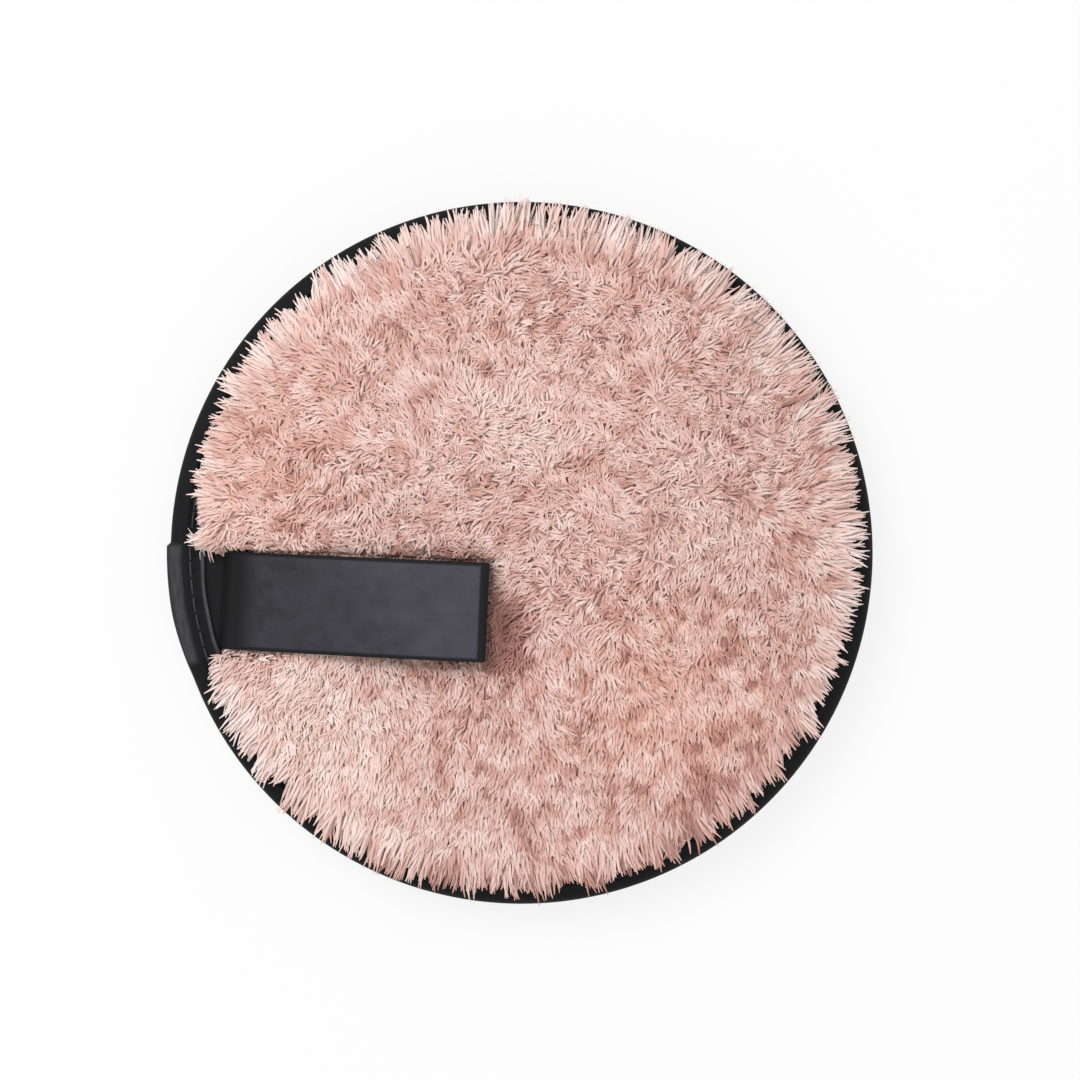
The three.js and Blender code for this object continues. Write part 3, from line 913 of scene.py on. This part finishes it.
class PUFF_OT_pile(Operator):
    """Lays the dense bed of the front's and the back's pile, and grows the strands on it"""
    bl_idname = "puff.pile"
    bl_label = "Pile"

    def execute(self, context):
        sizes = context.scene.puff_pile
        graph = pile_graph()
        finish, bed_material = pile_finish(sizes), bed_finish(sizes)
        shared = {
            "Length": sizes.length, "Width": sizes.width, "Bend": sizes.bend, "Rim bend": sizes.rim_bend,
            "Tuft": sizes.tuft, "Rim tuft": sizes.rim_tuft, "Ragged": sizes.ragged,
            "Seed": sizes.seed, "Finish": finish,
        }
        for name, side, count, sectors, crispness in (
            ("front_pile", 1.0, sizes.front_count, 6, sizes.crispness),
            ("back_pile", -1.0, sizes.back_count, 3, 2.0),
        ):
            bed = pile_bed(f"{name}_bed", side, sizes)
            bed.data.materials.append(bed_material)
            ride_as(bed, "pad", (name,))
            for sector in range(sectors):
                piece = grown(f"{name}_{sector + 1}", bed.data, graph, {
                    **shared, "Strands per area": count, "Side": side, "Sector": float(sector),
                    "Sectors": float(sectors), "Crispness": crispness,
                })
                ride_as(piece, "pad", (name,))
        return {"FINISHED"}


# Tape

# One side of the tape, from its inner fold to the rim, and its lining back, as radius and height
TAPE_OUTSIDE = curved(np.array([
    (54.0, 1.78), (54.0, 1.98), (54.14, 2.16), (54.45, 2.26), (54.95, 2.28), (55.45, 2.2), (55.8, 2.02),
    (56.2, 1.95), (56.6, 2.02), (56.95, 2.18), (57.25, 2.25), (57.5, 2.18), (57.72, 1.98), (58.1, 1.9),
    (58.6, 1.82), (59.1, 1.62), (59.55, 1.22), (59.88, 0.66), (60.0, 0),
]) * MM, 2)
TAPE_LINING = curved(np.array([
    (59.65, 0), (59.5, 0.6), (59.0, 1.2), (58.4, 1.5), (56.5, 1.5), (54.45, 1.5), (54.1, 1.6),
]) * MM, 2)
# The hollow's half width, the weave's ribs over the ribbon and in the cloth, and its picks
HOLLOW_WIDTH = 1.3 * MM
RIB_WAVE = 1.9 * MM
RIB_PITCH = 0.42 * MM
PICK_PITCH = 0.3 * MM
# How far the tape stands out where it goes round the ribbon's ends
RISE_PROUD = 0.6 * MM
# The map that is baked lays the tape out in strips, one over the other
TAPE_STRIPS = 4


def stitch_count(sizes):
    return round(2 * math.pi * SEAM_RADIUS / sizes.stitch)


def tape_side(sizes, angle, rise, proud):
    """The outside and the lining of one side of the tape, lifted by a share and pushed out."""
    skin, lining = TAPE_OUTSIDE.copy(), TAPE_LINING.copy()
    wave = math.sin(7 * angle + 1) + 0.7 * math.sin(17 * angle + 2.2) + 0.5 * math.sin(41 * angle)
    near_seam = np.exp(-(((skin[:, 0] - SEAM_RADIUS) / HOLLOW_WIDTH) ** 2))
    off_rim = smooth(skin[:, 0], PAD_RADIUS, PAD_RADIUS - 1.5 * MM)
    skin[:, 1] -= sizes.pucker * math.cos(stitch_count(sizes) * angle) * near_seam
    skin[:, 1] += 0.35 * sizes.wave * wave * off_rim
    skin[:, 0] += 0.5 * sizes.wave * wave * smooth(skin[:, 0], 55 * MM, TAPE_INNER)
    ribs = np.sin((skin[:, 0] - TAPE_INNER) * 2 * np.pi / RIB_WAVE)
    skin[:, 1] += rise * (TAPE_RISE + 0.1 * MM * ribs * off_rim) * smooth(skin[:, 1], 0, 1.2 * MM)
    skin[:, 0] += proud * smooth(skin[:, 0], 58 * MM, PAD_RADIUS)
    lining[:, 1] += rise * TAPE_RISE * smooth(lining[:, 1], 0, 1.2 * MM)
    lining[:, 0] += proud * smooth(lining[:, 0], 58 * MM, PAD_RADIUS - TAPE_THICKNESS)
    return skin, lining


def tape_section(sizes, angle):
    """The tape's closed section at an angle round the pad: out over the front, back underneath."""
    rise = rise_share(angle)
    proud = RISE_PROUD * rise * smooth(angle, RISE_END + FALL_STEP, RISE_END - 2 * FALL_STEP)
    front, front_lining = tape_side(sizes, angle, rise, proud)
    back, back_lining = tape_side(sizes, angle, 0, 0)
    flip = (1, -1)
    return np.vstack([front, (back[:-1] * flip)[::-1], (back_lining * flip)[::-1], front_lining[1:]])


def tape_maps(section, rows):
    """The map that is baked, in strips, and a map in metres along the tape and across it."""
    reach = reach_along(np.vstack([section, section[:1]]))
    baked, real = [], []
    for row in range(rows):
        turn = row * TAPE_STRIPS / rows
        strip = int(turn)
        for column in range(len(section)):
            for row_step, column_step in ((0, 0), (0, 1), (1, 1), (1, 0)):
                start = turn - strip + row_step * TAPE_STRIPS / rows
                out = reach[column + column_step]
                baked.append((0.005 + 0.99 * start, (strip + 0.02 + 0.96 * (out / reach[-1])) / TAPE_STRIPS))
                real.append(((row + row_step) / rows * 2 * math.pi * PAD_RADIUS, out))
    return {"OFBake": baked, "tape_run": real}


def tape_finish(sizes):
    """Woven tape: fine ribs across it, a soft sheen, and a painted grey sheen with a painted highlight on its
    inner ridge over the ribbon's ends.
    """
    graph = Finish("woven_tape")
    run, out, _ = graph.map_place("tape_run")
    ribs = (run * (2 * math.pi / RIB_PITCH)).sin()
    picks = (out * (2 * math.pi / PICK_PITCH)).sin()
    weave = ribs * 0.6 + picks * 0.4 * ribs
    mottle = graph.noise(graph.place(), 350, 3)
    plain = graph.mix(mottle * 0.7 + weave * 0.12, opaque(sizes.colour, 0.6), opaque(sizes.colour, 1.5))
    start, end = RISE_START * PAD_RADIUS, RISE_END * PAD_RADIUS
    over = run.step(start - 0.8 * MM, start + 0.2 * MM) * run.step(end + 1.6 * MM, end)
    # Over the ribbon's ends only: a painted highlight along the inner ridge, a painted band of sheen and
    # painted streaks of sheen
    ridge_highlight = out.step(0.9 * MM, 0.5 * MM)
    band_sheen = abs(out - 5.2 * MM).step(1.5 * MM, 0.4 * MM)
    sheen_streaks = graph.noise(graph.joined(run * 0.2, out, 0), 1800, 2)
    painted_sheen = over * (ridge_highlight * 0.9 + band_sheen * 0.4) * (sheen_streaks * 1.4 + 0.3)
    colour = graph.mix(painted_sheen.between(0, 1), plain, opaque(sizes.painted_sheen))
    return graph.filled(colour, 0.55 + mottle * 0.2, {
        "Normal": graph.bump(weave + mottle * 1.2, 0.04 * MM, 0.6), "Specular IOR Level": 0.12,
    })


class PUFF_OT_tape(Operator):
    """Folds the tape round the rim, drawn in by its stitches and raised over the ribbon's ends"""
    bl_idname = "puff.tape"
    bl_label = "Tape"

    def execute(self, context):
        sizes = context.scene.puff_tape
        angles = round_angles(sizes.columns)
        sections = [tape_section(sizes, angle) for angle in angles]
        faces = grid_faces(len(angles), len(sections[0]), wrap_rows=True, wrap_columns=True)
        maps = tape_maps(sections[0], len(angles))
        piece = mesh_from("edge_tape", turned_points(angles, sections), faces, maps)
        piece.data.materials.append(tape_finish(sizes))
        ride_as(piece, "pad", ("edge_binding",))
        return {"FINISHED"}


# Stitches


def stitch_graph():
    """Lays short bent stitches along a line, each dipping into the tape at its ends."""
    graph, given = geometry_graph(
        "Stitches", {"Stitches": "Int", "Stitch length": "Float", "Thread": "Float", "Finish": "Material"}
    )
    thread = given["Thread"]
    line = graph.node("GeometryNodeMeshToCurve", inputs={0: given["Geometry"]})
    even = graph.node("GeometryNodeResampleCurve", inputs={"Curve": line, "Count": given["Stitches"]})
    half, dip = given["Stitch length"] * 0.43, thread * -0.75
    arch = graph.node("GeometryNodeCurveQuadraticBezier", inputs={
        "Resolution": 6, "Start": graph.joined(half * -1, 0, dip),
        "Middle": graph.joined(0, 0, thread * 0.95), "End": graph.joined(half, 0, dip),
    })
    ring = graph.node("GeometryNodeCurvePrimitiveCircle", {"mode": "RADIUS"}, {0: 6, "Radius": thread * 0.5})
    tube = graph.node(
        "GeometryNodeCurveToMesh", inputs={"Curve": arch, "Profile Curve": ring, "Fill Caps": True}
    )
    tangent = graph.node("GeometryNodeInputTangent")
    turned = graph.node("FunctionNodeAlignRotationToVector", {"axis": "X"}, {"Vector": tangent})
    copies = graph.node(
        "GeometryNodeInstanceOnPoints", inputs={"Points": even, "Instance": tube, "Rotation": turned}
    )
    real = graph.node("GeometryNodeRealizeInstances", inputs={0: copies})
    graph.finish(graph.node("GeometryNodeSetShadeSmooth", inputs={0: real}), given["Finish"])
    return graph


def thread_finish():
    """Twisted thread: black with greyer twists."""
    graph = Finish("twisted_thread")
    twist = graph.noise(graph.place(), 2600, 2)
    colour = graph.mix(twist, opaque(light(22, 22, 24)), opaque(light(58, 58, 62)))
    return graph.filled(colour, 0.45 + twist * 0.2, {"Normal": graph.bump(twist, 0.05 * MM)})


class PUFF_OT_stitches(Operator):
    """Sews the tape down on the front and on the back"""
    bl_idname = "puff.stitches"
    bl_label = "Stitches"

    def execute(self, context):
        sizes = context.scene.puff_tape
        graph, finish = stitch_graph(), thread_finish()
        count = stitch_count(sizes)
        angles = round_angles(6 * count)
        for name, side in (("front_thread", 1), ("back_thread", -1)):
            rise = TAPE_RISE * rise_share(angles) if side > 0 else np.zeros(len(angles))
            heights = HOLLOW_FLOOR + 0.55 * sizes.thread + rise
            points = np.column_stack([
                SEAM_RADIUS * np.cos(angles), SEAM_RADIUS * np.sin(angles), MIDDLE + side * heights,
            ])
            seam = bpy.data.meshes.new("seam_line")
            edges = [(i, (i + 1) % len(angles)) for i in range(len(angles))]
            seam.from_pydata([tuple(point) for point in points], edges, [])
            piece = grown(f"{name}_stitches", seam, graph, {
                "Stitches": count, "Stitch length": sizes.stitch, "Thread": sizes.thread, "Finish": finish,
            })
            ride_as(piece, "pad", (name,))
        return {"FINISHED"}


# Ribbon

# How square the fold at the loop's end is: 1 is round, 0 has sharp corners
FOLD_ROUNDNESS = 0.32
# Places across the ribbon from edge to edge, and how thick it is at its edges
LANES = np.concatenate([[-1, -0.985], np.linspace(-0.965, 0.965, 27), [0.985, 1]])
LANE_THICKNESS = np.where(np.abs(LANES) > 0.99, 0.35, np.where(np.abs(LANES) > 0.975, 0.8, 1))
# The upper leg lies over this height, and the lower leg under it
BETWEEN_LEGS = 3 * MM


def ribbon_line(sizes):
    """The ribbon's middle line in side view, from one end, round the loop and back to the other."""
    tail = np.linspace(TAIL_END, BEND_START, 12)
    bend = np.linspace(BEND_START, BEND_END, 10)[1:]
    leg = np.linspace(BEND_END, LEG_LENGTH, 56)[1:]
    along = np.concatenate([tail, bend, leg])
    climb = smooth(along, BEND_START, BEND_END)
    lower = (TAIL_MIDDLE - PLY_STEP / 2) * (1 - climb) + (leg_face(along) + sizes.thickness / 2) * climb
    share = along / LEG_LENGTH
    gap = PLY_STEP + (LOOP_HEIGHT - sizes.thickness - PLY_STEP) * smooth(share, 0.19, 0.8)
    upper = lower + gap - sizes.sag * np.sin(np.pi * np.clip((share - 0.3) / 0.66, 0, 1)) ** 2
    radius = (upper[-1] - lower[-1]) / 2
    turn = np.linspace(-np.pi / 2, np.pi / 2, 30)[1:-1]
    out, up = np.cos(turn), np.sin(turn)
    fold = np.column_stack([
        LEG_LENGTH + radius * np.abs(out) ** FOLD_ROUNDNESS,
        (upper[-1] + lower[-1]) / 2 + radius * np.sign(up) * np.abs(up) ** FOLD_ROUNDNESS,
    ])
    line = np.vstack([np.column_stack([along, lower]), fold, np.column_stack([along, upper])[::-1]])
    reach = reach_along(line)
    even = np.linspace(0, reach[-1], 360)
    return np.column_stack([np.interp(even, reach, line[:, i]) for i in (0, 1)]), even


def ribbon_points(sizes, line, reach):
    """The points of both faces, row by row along the line; the tails end on a circle."""
    way = np.gradient(line, axis=0)
    way /= np.linalg.norm(way, axis=1, keepdims=True)
    hinge_x, hinge_y = HINGE.dot(RIBBON_ALONG), HINGE.dot(RIBBON_ACROSS)
    points = []
    for face in (1, -1):
        for (x, z), (way_x, way_z), run in zip(line, way, reach):
            quiet = smooth(x, 3 * MM, 9 * MM)
            for lane, thickness in zip(LANES, LANE_THICKNESS):
                y = lane * sizes.width / 2
                here = x
                if x <= BEND_START:
                    end = -math.sqrt(TAIL_RADIUS**2 - (y + hinge_y) ** 2) - hinge_x
                    here = BEND_START + (x - BEND_START) * (end - BEND_START) / (TAIL_END - BEND_START)
                drift = 0.05 * MM * (math.sin(run * 420 + 1.7 * lane) + math.sin(run * 190 - 2 * lane))
                drift -= 0.12 * MM * lane**4
                offset = face * sizes.thickness / 2 * thickness
                offset += (drift if z > BETWEEN_LEGS else -drift) * quiet
                points.append(
                    HINGE + RIBBON_ALONG * (here + way_z * offset) + RIBBON_ACROSS * y
                    + Vector((0, 0, MIDDLE + z - way_x * offset))
                )
    return points


def ribbon_faces(rows, columns):
    """The faces of both sides, and of the thin edge all round."""
    size = rows * columns
    front = grid_faces(rows, columns)
    edge = [
        *range(columns), *(row * columns + columns - 1 for row in range(1, rows)),
        *(size - 1 - column for column in range(1, columns)),
        *(row * columns for row in range(rows - 2, 0, -1)),
    ]
    back = [tuple(size + i for i in reversed(face)) for face in front]
    return [*front, *back, *((b, a, size + a, size + b) for a, b in zip(edge, edge[1:] + edge[:1]))]


def ribbon_maps(sizes, faces, reach):
    """The map that is baked, with the two faces one over the other, and a map in metres."""
    columns, side = len(LANES), sizes.width / 2
    size = len(reach) * columns
    baked, real = [], []
    for face in faces:
        spots = [(reach[(i % size) // columns], LANES[i % columns] * side, i // size) for i in face]
        mixed = len({under for _, _, under in spots}) > 1
        for run, across, under in spots:
            lift = 0.004 * (1 if under else -1) if mixed else 0
            lane = 0.04 + 0.42 * (across / sizes.width + 0.5) + (0.5 if under and not mixed else 0)
            baked.append((
                0.02 + 0.96 * run / reach[-1] + (lift if abs(across) < side else 0),
                lane + (math.copysign(0.01, across) - 2.5 * lift if mixed and abs(across) >= side else 0),
            ))
            real.append((run, across))
    return {"OFBake": baked, "ribbon_run": real}


def ribbon_finish(sizes, length):
    """Satin: fine warp along the ribbon, mottled brightness, a sheen painted brighter towards the fold, and a
    denser woven edge on each side, with painted shade at the fold and painted shadow of the tape near the
    ribbon's ends.
    """
    graph = Finish("satin_ribbon")
    run, across, _ = graph.map_place("ribbon_run")
    place = graph.joined(run * 0.7, across, 0)
    warp = graph.noise(graph.joined(run * 0.06, across, 0), 2600, 2)
    mottle = graph.noise(place, 400, 3, 0.6)
    cloudy = graph.noise(place, 90, 2)
    from_fold = abs(run - length / 2)
    # Painted shade where the fold turns down, and painted shadow of the tape where the ribbon comes out from
    # under it
    fold = from_fold.step(3.5 * MM, 3.1 * MM)
    root = from_fold.step(40.5 * MM, 45.5 * MM)
    woven_edge = (sizes.width / 2 - abs(across)).step(0.85 * MM, 0.4 * MM)
    edge = woven_edge.most(fold.most(root))
    sheen = from_fold.step(34 * MM, 5 * MM)
    bright = warp * 0.12 + mottle * 0.8 + cloudy * 0.5 + sheen * 0.5 - 0.29
    satin = graph.mix(bright, opaque(sizes.colour, 0.4), opaque(sizes.colour, 4.8))
    # The woven edges' own dark colour, also used for the painted shade at the fold and the painted shadow
    # near the ends
    colour = graph.mix(edge * 0.9, satin, opaque(light(12, 11, 12)))
    return graph.filled(colour, 0.34 + mottle * 0.2 + edge * 0.3, {
        "Normal": graph.bump(warp * 0.2 + mottle - edge * 0.6, 0.05 * MM, 0.6),
        "Specular IOR Level": 0.2,
    })


class PUFF_OT_ribbon(Operator):
    """Makes the satin ribbon in one strip, which bends up out of the tape at the hinge"""
    bl_idname = "puff.ribbon"
    bl_label = "Ribbon"

    def execute(self, context):
        sizes = context.scene.puff_ribbon
        line, reach = ribbon_line(sizes)
        faces = ribbon_faces(len(line), len(LANES))
        maps = ribbon_maps(sizes, faces, reach)
        piece = mesh_from("satin_ribbon", ribbon_points(sizes, line, reach), faces, maps)
        piece.data.materials.append(ribbon_finish(sizes, reach[-1]))
        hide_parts("ribbon_loop", "ribbon_tails")
        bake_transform(piece)
        return {"FINISHED"}


# Stage

SENSOR_WIDTH = 36
# The lamps in metres: name, place, size, and share of the key lamp's power
LAMPS = (("key", (-0.34, 0.32, 0.8), 0.4, 1), ("fill", (0.1, -0.45, 0.85), 0.7, 0.3))
LAMP_TARGET = Vector((0, 0, 0.01))
FLOOR_HALF = 1.5
FLOOR_HEIGHT = -0.05 * MM


def white_share(graph):
    """1 for the rays that should see plain white: those from the camera and from mirrors or glass."""
    rays = graph.node("ShaderNodeLightPath")
    total = rays.output("Is Camera Ray") + rays.output("Is Glossy Ray") + rays.output("Is Transmission Ray")
    return total.least(1)


def floor_finish():
    """A pale floor that looks white and still takes a soft shadow."""
    graph = Finish("pale_floor")
    grain = graph.noise(graph.place(), 30, 2)
    paper = graph.mix(grain, (0.86, 0.86, 0.86, 1), (0.9, 0.9, 0.9, 1))
    lit = graph.node("ShaderNodeBsdfDiffuse", inputs={"Color": paper})
    white = graph.node("ShaderNodeEmission", inputs={"Color": (1, 1, 1, 1), "Strength": 1.0})
    share = white_share(graph) * 0.8
    return graph.shown(graph.node("ShaderNodeMixShader", inputs={0: share, 1: lit, 2: white}))


def surroundings(strength):
    """A world that looks white and lights the puff from all round."""
    world = bpy.data.worlds.new("surroundings")
    world.use_nodes = True
    world.node_tree.nodes.clear()
    graph = Graph(world.node_tree)
    seen = graph.mix(white_share(graph), strength, 1.0)
    around = graph.node("ShaderNodeBackground", inputs={"Color": (1, 1, 1, 1), "Strength": seen})
    graph.node("ShaderNodeOutputWorld", inputs={"Surface": around})
    return world


class PUFF_OT_stage(Operator):
    """Sets the camera straight above, the lamps, the pale floor and the white surroundings"""
    bl_idname = "puff.stage"
    bl_label = "Stage"

    def execute(self, context):
        scene = context.scene
        sizes = scene.puff_stage
        camera = bpy.data.cameras.new("camera")
        camera.lens = sizes.lens
        camera.sensor_width = SENSOR_WIDTH
        scene.camera = placed("camera", camera)
        distance = sizes.seen_width * sizes.lens / SENSOR_WIDTH
        scene.camera.location = Vector(sizes.centre) + Vector((0, 0, distance))
        for name, place, size, share in LAMPS:
            lamp = bpy.data.lights.new(name, "AREA")
            lamp.size = size
            lamp.energy = share * sizes.key
            holder = placed(name, lamp)
            holder.location = place
            holder.rotation_euler = (LAMP_TARGET - Vector(place)).to_track_quat("-Z", "Y").to_euler()
        scene.world = surroundings(sizes.fill)
        signs = ((-1, -1), (1, -1), (1, 1), (-1, 1))
        corners = [(x * FLOOR_HALF, y * FLOOR_HALF, FLOOR_HEIGHT) for x, y in signs]
        floor = mesh_from("floor", corners, [(0, 1, 2, 3)])
        floor.data.materials.append(floor_finish())
        scene.view_settings.view_transform = "Standard"
        return {"FINISHED"}


# Add-on


class PUFF_PT_panel(Panel):
    bl_idname = "PUFF_PT_panel"
    bl_label = "Powder puff"
    bl_space_type = "VIEW_3D"
    bl_region_type = "UI"
    bl_category = "Puff"

    def draw(self, context):
        for operator, settings in STEPS:
            box = self.layout.box()
            box.operator(operator.bl_idname)
            if settings:
                group = getattr(context.scene, settings)
                for name in group.bl_rna.properties.keys():
                    if name not in {"rna_type", "name"}:
                        box.prop(group, name)


SETTINGS = {
    "puff_body": PuffBodySettings, "puff_pile": PuffPileSettings, "puff_tape": PuffTapeSettings,
    "puff_ribbon": PuffRibbonSettings, "puff_stage": PuffStageSettings,
}
STEPS = (
    (PUFF_OT_stage, "puff_stage"), (PUFF_OT_body, "puff_body"), (PUFF_OT_pile, "puff_pile"),
    (PUFF_OT_tape, "puff_tape"), (PUFF_OT_stitches, None), (PUFF_OT_ribbon, "puff_ribbon"),
)
CLASSES = (*SETTINGS.values(), *(operator for operator, _ in STEPS), PUFF_PT_panel)


def register():
    for cls in CLASSES:
        bpy.utils.register_class(cls)
    for name, cls in SETTINGS.items():
        setattr(bpy.types.Scene, name, PointerProperty(type=cls))


def unregister():
    for name in SETTINGS:
        delattr(bpy.types.Scene, name)
    for cls in reversed(CLASSES):
        bpy.utils.unregister_class(cls)


def main():
    register()
    bpy.ops.puff.stage()
    bpy.ops.puff.body()
    bpy.ops.puff.pile()
    bpy.ops.puff.tape()
    bpy.ops.puff.stitches()
    bpy.ops.puff.ribbon()


if __name__ == "__main__":
    main()
